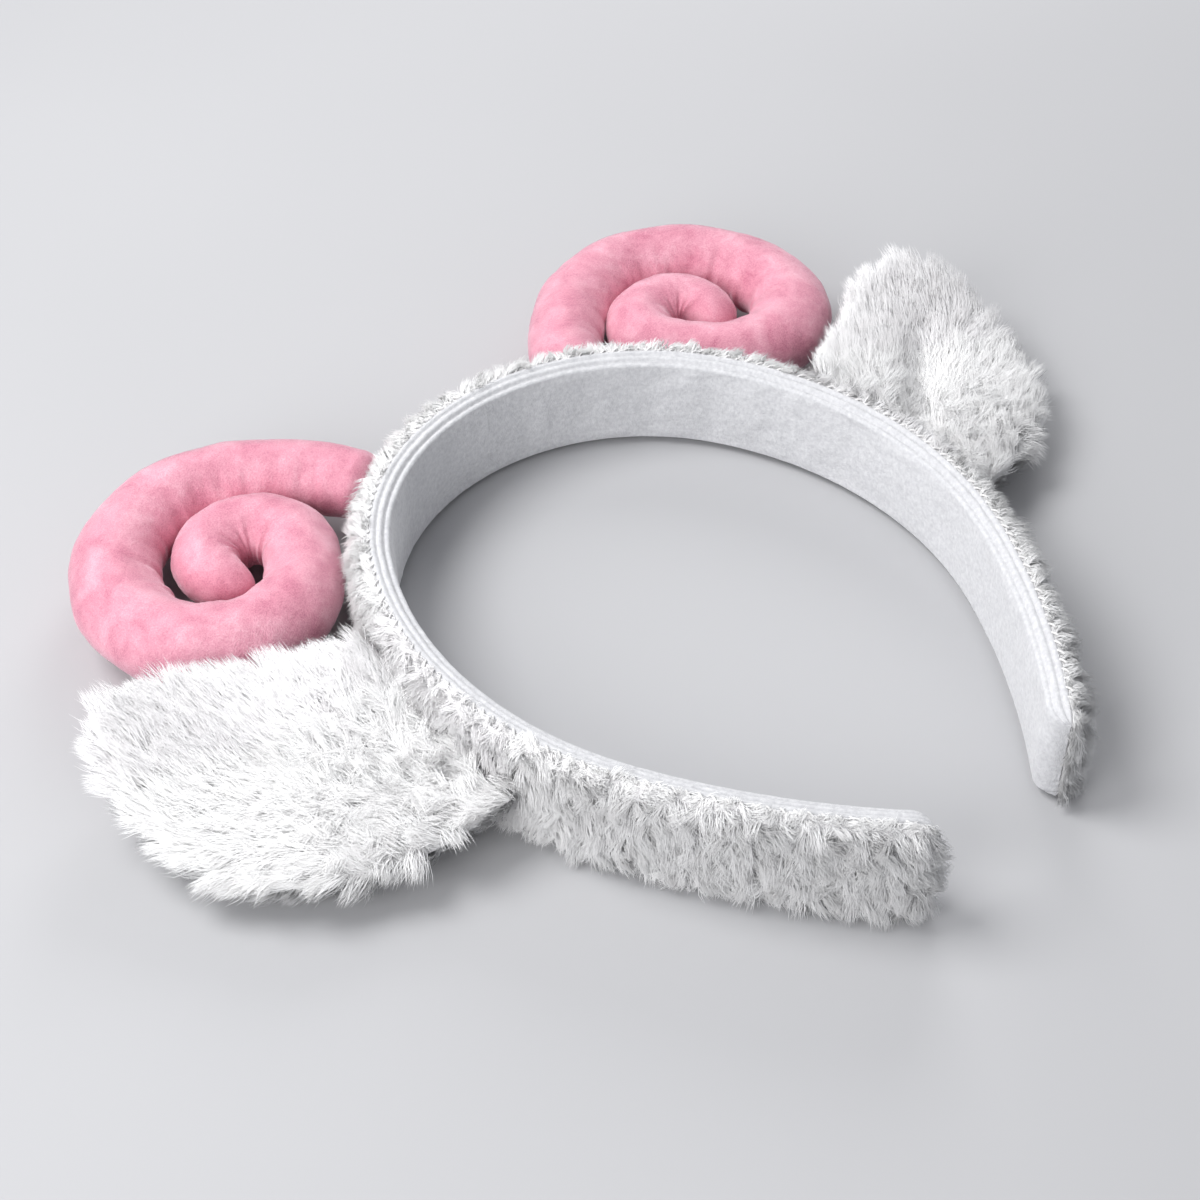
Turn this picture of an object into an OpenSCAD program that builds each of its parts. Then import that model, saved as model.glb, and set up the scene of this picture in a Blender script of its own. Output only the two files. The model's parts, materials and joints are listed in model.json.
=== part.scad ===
// Plush animal-ears headband: a sprung plastic hoop in a fur sleeve, with two rolled
// velvet horns and two fur ears. Units are millimetres.
// Frame: X across the head (wearer's left is +X), Y up towards the crown, Z forward.
// Origin: centre of the crown arc, on the band's mid-plane. The band lies flat on its rear rim.

/* [Hoop shape] */
// Inner radius of the arc over the crown
crown_r = 53; // [50:1:56]
// Inner radius of the arc beside the head
side_r = 79; // [76:1:84]
// Inner radius of the nearly straight arm behind the ear
arm_r = 170; // [150:5:200]
// Half angle of the crown arc
crown_a = 60; // [58:1:62]
// Angle of each side arc
side_a = 57; // [54:1:60]
// Angle of each arm arc
arm_a = 17; // [12:1:19]

/* [Band section] */
// Height of the covered band along Z
band_w = 24; // [22:1:28]
// Thickness of the covered band
band_t = 9.5; // [9:0.5:12]
// Corner radius of the covered band
corner_r = 3; // [2:0.5:4]
// Thickness of the lining cloth and of the fur's sewn edges
cloth_t = 1.2; // [1:0.1:1.5]
// Distance of the seam from the lining's face
seam_at = 4.8; // [4.5:0.1:5]
// Outer limit of the foam sleeve, measured from the lining's face
foam_out = 6.4; // [6:0.1:7]
// Height of the plastic strip
core_w = 14; // [10:1:18]
// Thickness of the plastic strip
core_t = 1.6; // [1.2:0.1:2]
// Middle of the plastic strip, measured from the lining's face
core_at = 4; // [3.8:0.1:4.2]
// Diameter of the sewing thread in the seams
thread_d = 0.8; // [0.6:0.1:0.9]

/* [Flex] */
// Angle from the crown to each flex line
flex_a = 16; // [12:1:18]
// How far an arm springs open
open_a = 14; // [6:1:16]
// How far an arm springs shut
shut_a = 4; // [2:1:6]

/* [Horns] */
// Middle of the rolled horn, across the head
horn_x = 63.4; // [63:0.2:66]
// Middle of the rolled horn, above the crown arc's centre
horn_y = 56; // [55.8:0.2:58]
// Radius of the outer coil, to the tube's middle
coil_r = 27.3; // [27:0.1:28.5]
// Radius of the inner coil where it starts, to the tube's middle
core_coil_r = 11.8; // [10.6:0.1:12]
// Radius of the stuffed tube at its thickest
tube_r = 9.4; // [8.5:0.1:9.4]
// Thickness of the velvet skin
velvet_t = 0.8; // [0.6:0.1:1]

/* [Ears] */
// Middle of the ear's sewn root, across the head
ear_x = 70; // [70:0.2:74]
// Middle of the ear's sewn root, above the crown arc's centre
ear_y = -12; // [-16:1:-10]
// Length of the sewn root
root_len = 42; // [34:1:44]
// Radius of the gathered root
root_r = 3.5; // [2.5:0.1:3.6]
// Slope of the sewn root along the band, rear rim to front rim
root_slope = 8; // [6:1:14]
// Droop of the ear at rest
ear_droop = 5; // [2:1:6]
// Radius of the ear's dished faces
dish_r = 120; // [90:5:140]
// Thickness of the ear's front fur
front_t = 3; // [2:0.5:3]
// Thickness of the ear's batting
batting_t = 2; // [1.5:0.5:2.5]
// Thickness of the ear's back fur
back_t = 2.5; // [2:0.5:3]

/* [Hidden] */
NODES = [
    "hoop_strip_crown", "foam_sleeve_crown", "lining_crown", "fur_cover_crown", "seam_thread_crown",
    "hoop_strip_left", "foam_sleeve_left", "lining_left", "fur_cover_left", "seam_thread_left",
    "horn_glue_left", "ear_stitches_left",
    "hoop_strip_right", "foam_sleeve_right", "lining_right", "fur_cover_right", "seam_thread_right",
    "horn_glue_right", "ear_stitches_right",
    "horn_velvet_left", "horn_stuffing_left", "horn_tacks_left",
    "horn_velvet_right", "horn_stuffing_right", "horn_tacks_right",
    "ear_front_left", "ear_batting_left", "ear_back_left", "ear_root_left",
    "ear_front_right", "ear_batting_right", "ear_back_right", "ear_root_right"
];
$fn = 96;

fur_white = "white";
lining_white = "whitesmoke";
velvet_pink = "pink";

eps = 0.02;
far = 200;
z_low = -band_w / 2;
pivot_r = crown_r + core_at;                 // radius of the flex lines
pivot = pivot_r * [sin(flex_a), cos(flex_a)];
side_centre = (crown_r - side_r) * [sin(crown_a), cos(crown_a)];
arm_centre = side_centre + (side_r - arm_r) * [sin(crown_a + side_a), cos(crown_a + side_a)];
tip_heading = crown_a + side_a + arm_a;      // heading of the band at its tip
strip_short = 1;                             // angle by which the strip stops short of the tip
end_gap = 0.3;                               // gap at each cut through the soft layers
strip_gap = 0.35;                            // gap in the strip at each flex line
notch_spare = 1;                             // spare angle in each flex notch
groove_w = 1;                                // width of the valley along a seam
groove_d = 0.9;                              // depth of that valley

// ---------- the band's layers ----------

// A rectangle with round corners, from [x, y], as true arcs
module round_rect(x, y, w, h, r) {
    translate([x + r, y]) square([w - 2 * r, h]);
    translate([x, y + r]) square([w, h - 2 * r]);
    for (cx = [x + r, x + w - r], cy = [y + r, y + h - r])
        translate([cx, cy]) circle(r);
}

// Sections lie with X away from the head and Y along the band's height. $slim makes a section
// a hair smaller, so that a sweep can overlap its neighbour without matching its surface.
$slim = 0;
slim_step = 0.03;
overlap_a = 0.5;

module band_section(i = 0)
    round_rect(i, z_low + i, band_t - 2 * i, band_w - 2 * i, corner_r - i);

module inside_section(i = 0)
    round_rect(cloth_t + i, z_low + cloth_t + i, band_t - 2 * cloth_t - 2 * i,
               band_w - 2 * cloth_t - 2 * i, corner_r - cloth_t - i);

module strip_section(i = 0)
    translate([core_at - core_t / 2 + i, -core_w / 2 + i]) square([core_t - 2 * i, core_w - 2 * i]);

module seam_grooves(i)
    for (s = [-1, 1])
        translate([seam_at - groove_w / 2 - i, s > 0 ? -z_low - groove_d - i : z_low - eps])
            square([groove_w + 2 * i, groove_d + i + eps]);

module lining_section()
    difference() {
        band_section($slim);
        inside_section(-$slim);
        seam_grooves($slim);
        translate([seam_at - $slim, -far / 2]) square([far, far]);
    }

module foam_section()
    difference() {
        inside_section($slim);
        translate([foam_out - $slim, -far / 2]) square([far, far]);
        strip_section(-$slim);
    }

module fur_section()
    difference() {
        band_section($slim);
        translate([-far + seam_at + $slim, -far / 2]) square([far, far]);
        difference() {
            inside_section(-$slim);
            translate([foam_out + $slim, -far / 2]) square([far, far]);
        }
        seam_grooves($slim);
    }

module thread_section()
    for (s = [-1, 1])
        translate([seam_at, s * (band_w / 2 - thread_d / 2 - 0.08)]) circle(thread_d / 2 - $slim);

module hoop_section() strip_section($slim);

// Sweeps a section round an arc of inner radius r, between two headings from the crown
module arc_sweep(centre, r, from, to)
    translate([centre.x, centre.y, 0])
        rotate([0, 0, 90 - to])
            rotate_extrude(angle = to - from)
                translate([r, 0]) children();

// The arm of the wearer's left: the rest of the crown arc, the side arc and the arm arc
module arm_sweep(short = 0) {
    arc_sweep([0, 0], crown_r, flex_a, crown_a) children();
    arc_sweep(side_centre, side_r, crown_a - overlap_a, crown_a + side_a, $slim = slim_step)
        children();
    arc_sweep(arm_centre, arm_r, crown_a + side_a - overlap_a, tip_heading - short,
              $slim = 2 * slim_step)
        children();
}

module crown_sweep() arc_sweep([0, 0], crown_r, -flex_a, flex_a) children();

// Places children at a flex line, with X along the band away from the crown
module at_pivot(side)
    mirror([side < 0 ? 1 : 0, 0, 0])
        translate([pivot.x, pivot.y, 0])
            rotate([0, 0, -flex_a]) children();

// Room for an arm's soft layers to turn: a wedge outside the strip and one inside it
module flex_notches()
    for (side = [-1, 1])
        at_pivot(side)
            linear_extrude(band_w + 2, center = true)
                polygon([
                    [far * 0.1, 0],
                    [0, 0],
                    far * 0.1 * [-sin(open_a + notch_spare), cos(open_a + notch_spare)],
                    [far * 0.1, far * 0.1]
                ]);

module shut_notches()
    for (side = [-1, 1])
        at_pivot(side)
            linear_extrude(band_w + 2, center = true)
                polygon([
                    [far * 0.1, 0],
                    [0, 0],
                    far * 0.1 * [-sin(shut_a + notch_spare), -cos(shut_a + notch_spare)],
                    [far * 0.1, -far * 0.1]
                ]);

module crown_layer()
    difference() {
        crown_sweep() children();
        flex_notches();
        shut_notches();
    }

// Cuts a thin slice off an arm's layers at the flex line
module arm_layer(short = 0)
    difference() {
        arm_sweep(short) children();
        at_pivot(1) cube([2 * end_gap, far * 0.2, band_w + 2], center = true);
    }

module on_side(side) mirror([side < 0 ? 1 : 0, 0, 0]) children();

module hoop_strip_crown()
    color("dimgray")
        difference() {
            crown_sweep() hoop_section();
            for (side = [-1, 1])
                at_pivot(side) cube([2 * strip_gap, core_t * 4, core_w + 2], center = true);
        }

module hoop_strip_arm(side) color("dimgray") on_side(side) arm_sweep(strip_short) hoop_section();

// The foam also stays clear of the strip's corners, which turn at the flex line
module foam_crown()
    color("lightyellow")
        difference() {
            crown_layer() foam_section();
            for (side = [-1, 1])
                at_pivot(side) cylinder(r = core_t / 2 + end_gap, h = core_w + 2, center = true);
        }

// The foam closes over the end of the strip, which stops short of the tip
module foam_arm(side)
    color("lightyellow")
        on_side(side) {
            arm_layer() foam_section();
            arc_sweep(arm_centre, arm_r, tip_heading - strip_short + eps, tip_heading)
                strip_section(-3 * slim_step);
        }

module lining_crown() color(lining_white) crown_layer() lining_section();
module lining_arm(side) color(lining_white) on_side(side) arm_layer() lining_section();

module fur_cover_crown() color(fur_white) crown_layer() fur_section();

// Round fur end that closes the sleeve
module tip_cap()
    translate([arm_centre.x, arm_centre.y, 0])
        rotate([0, 0, 90 - tip_heading])
            translate([arm_r + band_t / 2, 0, 0])
                rotate([0, 0, 180])
                    rotate_extrude(angle = 180)
                        intersection() {
                            translate([-band_t / 2, 0]) band_section();
                            translate([0, -far / 2]) square([far, far]);
                        }

module fur_cover_arm(side)
    color(fur_white)
        on_side(side) {
            arm_layer() fur_section();
            tip_cap();
        }

module seam_thread_crown() color("ivory") crown_layer() thread_section();
module seam_thread_arm(side) color("ivory") on_side(side) arm_layer() thread_section();

// ---------- the horns ----------

coil_start = 0.5;    // angle at which the tube leaves the band
coil_end = 610;      // angle at which the tube's tip ends
roll_from = 198;     // angle at which the tube turns in from the outer coil
roll_span = 130;     // angle over which it reaches the inner coil
core_in = 6;         // how far the inner coil winds in from its start to the tip
flare = 7.6;         // how far the root stands outside the outer coil
flare_span = 55;     // angle over which the root joins the coil
slim_from = 210;     // angle at which the tube grows slimmer
slim_span = 120;     // angle over which it does
taper_from = 430;    // angle at which the tube starts its last taper
horn_rings = 72;
horn_sides = 14;
ring_crowding = 0.3; // how much closer the rings stand near the ends
root_dome = 5;       // length of the rounded root end
tip_dome = 6.5;      // length of the rounded tip

function ease(t) = let(u = max(0, min(1, t))) u * u * (3 - 2 * u);
function coil_radius(a) =
    coil_r + (core_coil_r - coil_r) * ease((a - roll_from) / roll_span)
    + flare * pow(max(0, 1 - a / flare_span), 2)
    - core_in * max(0, (a - roll_from - roll_span) / (coil_end - roll_from - roll_span));
function coil_point(a) = [horn_x - coil_radius(a) * cos(a), horn_y + coil_radius(a) * sin(a), 0];
function coil_step(a) = norm(coil_point(a + 1) - coil_point(a));
// Tube radius: slim at the root, full round the outer coil, slimmer towards the tip
function tube_radius(a) =
    tube_r - 1.4 * pow(max(0, 1 - a / 90), 2) - 1.5 * ease((a - slim_from) / slim_span)
    - 2 * ease((a - taper_from) / (coil_end - taper_from));
// Rounds both ends as quarter ellipses
function dome(a) =
    let(from_root = (a - coil_start) * coil_step(coil_start) / root_dome,
        from_tip = (coil_end - a) * coil_step(coil_end) / tip_dome,
        t = min(1, from_root, from_tip))
    sqrt(max(0, 1 - pow(1 - t, 2)));
// Ring angles crowd together in the domes
function ring_angle(i, inset) =
    let(t = i / (horn_rings - 1), first = coil_start + inset, last = coil_end - inset)
    first + (last - first) * (t - ring_crowding * sin(360 * t) / (2 * PI));

module horn_tube(skin) {
    inset = skin * 2.2;
    rings = [
        for (i = [0 : horn_rings - 1])
            let(a = ring_angle(i, inset),
                p = coil_point(a),
                d = coil_point(a + 0.5) - coil_point(a - 0.5),
                n = [d.y, -d.x, 0] / norm(d),
                end = i == 0 || i == horn_rings - 1,
                r = end ? 0.6 : max(0.9, tube_radius(a) * dome(a) - skin))
            [for (k = [0 : horn_sides - 1])
                p + r * (cos(360 * k / horn_sides) * n + [0, 0, sin(360 * k / horn_sides)])]
    ];
    sides = [
        for (i = [0 : horn_rings - 2], k = [0 : horn_sides - 1])
            let(a = i * horn_sides + k, b = i * horn_sides + (k + 1) % horn_sides)
            [a, b, b + horn_sides, a + horn_sides]
    ];
    first = [for (k = [horn_sides - 1 : -1 : 0]) k];
    last = [for (k = [0 : horn_sides - 1]) (horn_rings - 1) * horn_sides + k];
    polyhedron([for (r = rings, p = r) p], concat([first, last], sides));
}

module horn_velvet(side)
    color(velvet_pink)
        on_side(side)
            difference() {
                horn_tube(0);
                horn_tube(velvet_t);
            }

module horn_stuffing(side) color("snow") on_side(side) horn_tube(velvet_t);

// Short bars of thread that tack one coil to the next, on the horn's rear
tack_angles = [40, 110, 180];
tack_len = 5;
tack_z = -4.5;
module horn_tacks(side)
    color("lightpink")
        on_side(side)
            for (a = tack_angles)
                let(gap_r = (coil_radius(a) - tube_r + coil_radius(a + 360) + tube_radius(a + 360)) / 2)
                translate([horn_x - gap_r * cos(a), horn_y + gap_r * sin(a), tack_z])
                    rotate([0, 90, 180 - a])
                        cylinder(d = thread_d, h = tack_len, center = true);

// A bead of clear glue on the fur, round the horn's root
glue_major = 5.8;
glue_minor = 1.1;
module horn_glue(side) {
    root = coil_point(coil_start);
    heading = atan2(root.x, root.y);
    color("gainsboro", 0.6)
        on_side(side)
            difference() {
                rotate([0, 0, -heading])
                    translate([0, crown_r + band_t, 0])
                        rotate([-90, 0, 0])
                            rotate_extrude() translate([glue_major, 0]) circle(glue_minor, $fn = 32);
                cylinder(r = crown_r + band_t, h = far, center = true, $fn = 256);
            }
}

// ---------- the ears ----------

// Corner points of the ear's outline, from the root's lower end round the tip, [x, y] from the
// middle of the root with Y along the root
ear_corners = [
    [0, -21], [12, -20], [30, -14], [45, 2], [50, 22], [48, 41], [40, 47], [26, 45], [9, 30], [0, 21]
];
edge_steps = 6;       // straight steps on each stretch of the outline
ear_clear = 38.6;     // distance that the ear keeps from the middle of the horn
dish_at = [24, 8];    // middle of the dish
dish_depth = 3;

// A smooth outline through the middles of the corner points' sides
function mid(i) = (ear_corners[i] + ear_corners[i + 1]) / 2;
ear_outline = concat(
    [ear_corners[0]],
    [for (i = [1 : len(ear_corners) - 2], s = [0 : edge_steps - 1])
        let(t = s / edge_steps)
        pow(1 - t, 2) * mid(i - 1) + 2 * t * (1 - t) * ear_corners[i] + t * t * mid(i)],
    [mid(len(ear_corners) - 2), ear_corners[len(ear_corners) - 1]]
);

// Places children at the ear's root, with Y along the root and X away from the band
module at_ear(side)
    on_side(side)
        translate([ear_x, ear_y, 0])
            rotate([root_slope, 0, 0])
                rotate([0, ear_droop, 0]) children();

// A dished layer of the ear between two heights over its rear face
module ear_layer(side, low, high)
    difference() {
        at_ear(side)
            difference() {
                intersection() {
                    translate([0, 0, -25]) linear_extrude(50) polygon(ear_outline);
                    translate([dish_at.x, dish_at.y, dish_r - dish_depth - (back_t + batting_t / 2)])
                        difference() {
                            sphere(dish_r - low, $fn = 256);
                            sphere(dish_r - high, $fn = 256);
                        }
                }
                rotate([90, 0, 0]) cylinder(r = root_r, h = root_len + 4, center = true);
            }
        on_side(side)
            translate([horn_x, horn_y, -far / 2]) cylinder(r = ear_clear, h = far, $fn = 160);
    }

module ear_back(side) color(fur_white) ear_layer(side, 0, back_t);
module ear_batting(side) color("snow") ear_layer(side, back_t, back_t + batting_t);
module ear_front(side)
    color(fur_white) ear_layer(side, back_t + batting_t, back_t + batting_t + front_t);

// The ear's cloth gathered into a round roll along its root
module ear_root(side)
    color(fur_white)
        at_ear(side) rotate([90, 0, 0]) cylinder(r = root_r, h = root_len, center = true);

// Loops of thread from the band's fur round the rear of each ear's root
loop_gap = 0.15;
loop_count = 5;
loop_arc = 110;
module ear_stitches(side)
    color("ivory")
        on_side(side)
            translate([ear_x, ear_y, 0])
                rotate([root_slope, 0, 0])
                    for (i = [0 : loop_count - 1])
                        translate([0, (i - (loop_count - 1) / 2) * root_len / loop_count, 0])
                            rotate([90, 0, 0])
                                rotate([0, 0, 180 - loop_arc / 2])
                                    rotate_extrude(angle = loop_arc)
                                        translate([root_r + loop_gap + thread_d / 2, 0])
                                            circle(thread_d / 2, $fn = 24);

module body_parts(name, side, suffix) {
    if (name == str("hoop_strip", suffix)) hoop_strip_arm(side);
    if (name == str("foam_sleeve", suffix)) foam_arm(side);
    if (name == str("lining", suffix)) lining_arm(side);
    if (name == str("fur_cover", suffix)) fur_cover_arm(side);
    if (name == str("seam_thread", suffix)) seam_thread_arm(side);
    if (name == str("horn_glue", suffix)) horn_glue(side);
    if (name == str("ear_stitches", suffix)) ear_stitches(side);
    if (name == str("horn_velvet", suffix)) horn_velvet(side);
    if (name == str("horn_stuffing", suffix)) horn_stuffing(side);
    if (name == str("horn_tacks", suffix)) horn_tacks(side);
    if (name == str("ear_front", suffix)) ear_front(side);
    if (name == str("ear_batting", suffix)) ear_batting(side);
    if (name == str("ear_back", suffix)) ear_back(side);
    if (name == str("ear_root", suffix)) ear_root(side);
}

for (name = NODES)
    union() {
        if (name == "hoop_strip_crown") hoop_strip_crown();
        if (name == "foam_sleeve_crown") foam_crown();
        if (name == "lining_crown") lining_crown();
        if (name == "fur_cover_crown") fur_cover_crown();
        if (name == "seam_thread_crown") seam_thread_crown();
        body_parts(name, 1, "_left");
        body_parts(name, -1, "_right");
    }
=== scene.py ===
"""Looks of a plush animal-ears headband: fur, lining, velvet horns and fur ears round the CAD frame.

Lengths in this file are millimetres, turned to metres where a mesh is made. X runs across the head,
Y up to the crown and Z forward, as in the frame; "s" is the distance along the hoop's inner face from
the crown, positive on the wearer's left (+X), and "d" the distance out from that face.
"""

import json
import math

import bpy
import numpy as np
from mathutils import Matrix, Vector


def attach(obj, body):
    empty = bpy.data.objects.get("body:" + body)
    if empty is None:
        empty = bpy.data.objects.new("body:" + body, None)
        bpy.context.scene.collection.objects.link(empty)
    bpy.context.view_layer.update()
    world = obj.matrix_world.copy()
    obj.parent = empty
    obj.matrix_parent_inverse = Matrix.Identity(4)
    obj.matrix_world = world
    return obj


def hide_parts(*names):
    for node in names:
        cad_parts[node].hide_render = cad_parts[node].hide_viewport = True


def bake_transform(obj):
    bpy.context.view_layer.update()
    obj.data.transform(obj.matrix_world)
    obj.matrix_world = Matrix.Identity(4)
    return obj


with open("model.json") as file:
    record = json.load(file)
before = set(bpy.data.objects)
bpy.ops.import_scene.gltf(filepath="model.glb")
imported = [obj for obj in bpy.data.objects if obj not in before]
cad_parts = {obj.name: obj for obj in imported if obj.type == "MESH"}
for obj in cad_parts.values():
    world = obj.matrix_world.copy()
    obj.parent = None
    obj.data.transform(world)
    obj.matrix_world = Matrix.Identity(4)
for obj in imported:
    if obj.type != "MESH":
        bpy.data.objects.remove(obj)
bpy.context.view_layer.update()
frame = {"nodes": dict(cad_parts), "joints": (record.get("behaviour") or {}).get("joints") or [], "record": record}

MM = 0.001
SIDES = {"left": 1, "right": -1}

# ---------- the hoop's line ----------

mounts = {m["name"]: m for m in frame["record"]["mounts"]}
joints = {j["name"]: j for j in frame["joints"]}
CROWN_R = mounts["head_arch"]["dims"]["r_mm"]
SIDE_R = 79.0
ARM_R = 170.0
CROWN_A, SIDE_A, ARM_A = (math.radians(a) for a in (60.0, 57.0, 17.0))
S_SIDE = CROWN_R * CROWN_A
S_ARM = S_SIDE + SIDE_R * SIDE_A
S_TIP = S_ARM + ARM_R * ARM_A
FLOOR_Z = mounts["rest_rim"]["pos_m"][2] / MM


def along(heading):
    """Unit vector out from the head at a heading from the crown."""
    return np.stack([np.sin(heading), np.cos(heading)], -1)


SIDE_C = (CROWN_R - SIDE_R) * along(np.array(CROWN_A))
ARM_C = SIDE_C + (SIDE_R - ARM_R) * along(np.array(CROWN_A + SIDE_A))


def hoop(s):
    """Points on the hoop's inner face and the headings there, for distances s from the crown."""
    s = np.asarray(s, float)
    a = np.abs(s)
    crown, side = a < S_SIDE, a < S_ARM
    radius = np.where(crown, CROWN_R, np.where(side, SIDE_R, ARM_R))
    before = np.where(crown, 0, np.where(side, S_SIDE, S_ARM))
    turned = np.where(crown, 0, np.where(side, CROWN_A, CROWN_A + SIDE_A))
    centre = np.where(crown[..., None], 0, np.where(side[..., None], SIDE_C, ARM_C))
    heading = turned + (a - before) / radius
    p = centre + radius[..., None] * along(heading)
    mirror = np.where(s < 0, -1.0, 1.0)
    p[..., 0] *= mirror
    return p, heading * mirror


CAP = 4.2                     # how far the rounded end stands beyond the tip
CAP_S = CAP * math.pi / 2     # the length along its rounding
CAP_MID = 4.4                 # the d that the rounding closes on


def band(s, d, z):
    """Points of the band at s, d and z. Past the tips the section closes in a rounded end."""
    s, d, z = np.broadcast_arrays(np.asarray(s, float), d, z)
    over = np.clip(np.abs(s) - S_TIP, 0, CAP_S) / CAP
    p, heading = hoop(np.clip(s, -S_TIP, S_TIP))
    d = CAP_MID + (d - CAP_MID) * np.cos(over)
    z = z * (1 - 0.16 * (1 - np.cos(over)))
    out = along(heading)
    on = np.stack([out[..., 1], -out[..., 0]], -1) * np.where(s < 0, -1, 1)[..., None]
    xy = p + d[..., None] * out + (CAP * np.sin(over))[..., None] * on
    return np.concatenate([xy, z[..., None]], -1)


# ---------- noise ----------

TABLE = np.random.default_rng(11).random(4096)


def hashed(ix, iy, iz, seed):
    h = (ix * 73856093) ^ (iy * 19349663) ^ (iz * 83492791) ^ (seed * 2654435761)
    return TABLE[(h ^ (h >> 13)) & 4095]


def noise(p, size, seed=0):
    """Smooth noise from -1 to 1 at points p (n, 3), with features of the given size."""
    q = np.asarray(p, float) / size
    cell = np.floor(q).astype(np.int64)
    f = q - cell
    f = f * f * (3 - 2 * f)
    total = 0.0
    for corner in range(8):
        dx, dy, dz = corner & 1, corner >> 1 & 1, corner >> 2 & 1
        weight = (
            (f[..., 0] if dx else 1 - f[..., 0])
            * (f[..., 1] if dy else 1 - f[..., 1])
            * (f[..., 2] if dz else 1 - f[..., 2])
        )
        total = total + weight * hashed(cell[..., 0] + dx, cell[..., 1] + dy, cell[..., 2] + dz, seed)
    return 2 * total - 1


# ---------- meshes ----------

def unit(v):
    return v / np.maximum(np.linalg.norm(v, axis=-1, keepdims=True), 1e-9)


def make_mesh(name, points, quads, tris=None, material=None):
    """A mesh object from points in millimetres and arrays of quads and triangles."""
    mesh = bpy.data.meshes.new(name)
    tris = np.zeros((0, 3), np.int64) if tris is None else np.asarray(tris)
    quads = np.asarray(quads).reshape(-1, 4)
    loops = np.concatenate([quads.ravel(), tris.ravel()]).astype(np.int32)
    sizes = np.concatenate([np.full(len(quads), 4), np.full(len(tris), 3)])
    starts = np.concatenate([[0], np.cumsum(sizes)[:-1]]).astype(np.int32)
    mesh.vertices.add(len(points))
    mesh.vertices.foreach_set("co", (np.asarray(points) * MM).astype(np.float32).ravel())
    mesh.loops.add(len(loops))
    mesh.loops.foreach_set("vertex_index", loops)
    mesh.polygons.add(len(sizes))
    mesh.polygons.foreach_set("loop_start", starts)
    mesh.polygons.foreach_set("use_smooth", np.full(len(sizes), True))
    mesh.update(calc_edges=True)
    mesh.validate()
    obj = bpy.data.objects.new(name, mesh)
    bpy.context.scene.collection.objects.link(obj)
    if material:
        mesh.materials.append(material)
    return obj


def grid_faces(rows, columns, flip=False):
    """Quads between the points of a rows x columns grid whose last column joins its first."""
    i = np.arange(rows - 1)[:, None]
    k = np.arange(columns)[None, :]
    a = i * columns + k
    b = i * columns + (k + 1) % columns
    quads = np.stack([a, b, b + columns, a + columns], -1).reshape(-1, 4)
    return quads[:, ::-1] if flip else quads


def fan(ring, centre, flip=False):
    """Triangles from a closed ring of points to one centre point."""
    ring = np.asarray(ring)
    tris = np.stack([ring, np.roll(ring, -1), np.full(len(ring), centre)], -1)
    return tris[:, ::-1] if flip else tris


def loft(name, rings, material, flip=False):
    """A closed piece through rings (n, m, 3), with a fan over each end."""
    n, m = rings.shape[:2]
    points = np.concatenate([rings.reshape(-1, 3), rings[:1].mean(1), rings[-1:].mean(1)])
    tris = np.concatenate([
        fan(np.arange(m), n * m, not flip),
        fan(np.arange(m) + (n - 1) * m, n * m + 1, flip),
    ])
    return make_mesh(name, points, grid_faces(n, m, flip), tris, material)


# ---------- materials ----------

def srgb(r, g, b):
    """Linear colour for an 8-bit display colour."""
    def linear(c):
        return c / 255 / 12.92 if c <= 10 else ((c / 255 + 0.055) / 1.055) ** 2.4
    return linear(r), linear(g), linear(b), 1.0


class Shader:
    """A Principled material with short calls for the nodes that feed it."""

    def __init__(self, name, **sockets):
        self.material = bpy.data.materials.new(name)
        self.material.use_nodes = True
        self.nodes = self.material.node_tree.nodes
        self.links = self.material.node_tree.links
        self.principled = self.nodes["Principled BSDF"]
        self.coords = self.nodes.new("ShaderNodeTexCoord").outputs["Object"]
        for key, value in sockets.items():
            self.principled.inputs[key.replace("_", " ")].default_value = value

    def node(self, kind, settings=(), **sockets):
        made = self.nodes.new("ShaderNode" + kind)
        for key, value in dict(settings).items():
            setattr(made, key, value)
        for key, value in sockets.items():
            socket = made.inputs[key.replace("_", " ")]
            if isinstance(value, bpy.types.NodeSocket):
                self.links.new(value, socket)
            else:
                socket.default_value = value
        return made

    def noise(self, size, detail=2.0, roughness=0.5, stretch=(1, 1, 1), distortion=0.0):
        """Noise from 0 to 1 with features about size millimetres across."""
        mapping = self.node("Mapping", Vector=self.coords, Scale=stretch)
        made = self.node("TexNoise", Vector=mapping.outputs[0], Scale=1 / (size * MM), Detail=detail,
                         Roughness=roughness, Distortion=distortion)
        return made.outputs["Fac"]

    def ramp(self, value, stops):
        made = self.node("ValToRGB", Fac=value)
        elements = made.color_ramp.elements
        while len(elements) < len(stops):
            elements.new(0.5)
        for element, (position, colour) in zip(elements, stops):
            element.position = position
            element.color = colour
        return made.outputs["Color"]

    def map_range(self, value, low, high, to_low, to_high):
        made = self.node("MapRange", Value=value)
        for key, number in zip(("From Min", "From Max", "To Min", "To Max"), (low, high, to_low, to_high)):
            made.inputs[key].default_value = number
        return made.outputs[0]

    def bump(self, heights):
        """Chains bumps of (height, depth in millimetres)."""
        normal = None
        for value, depth in heights:
            made = self.node("Bump", Height=value, Distance=depth * MM, Strength=1.0)
            if normal:
                self.links.new(normal, made.inputs["Normal"])
            normal = made.outputs[0]
        self.links.new(normal, self.principled.inputs["Normal"])

    def drive(self, socket, value):
        self.links.new(value, self.principled.inputs[socket])


def fur_material(name, root, tip):
    """Glossy synthetic fibre: its whites vary from lock to lock."""
    m = Shader(name, Roughness=0.5, Specular_IOR_Level=0.35, Sheen_Weight=0.3, Sheen_Roughness=0.5)
    m.drive("Base Color", m.ramp(m.noise(4.0, 3.0), [(0.3, root), (0.7, tip)]))
    return m.material


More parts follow.
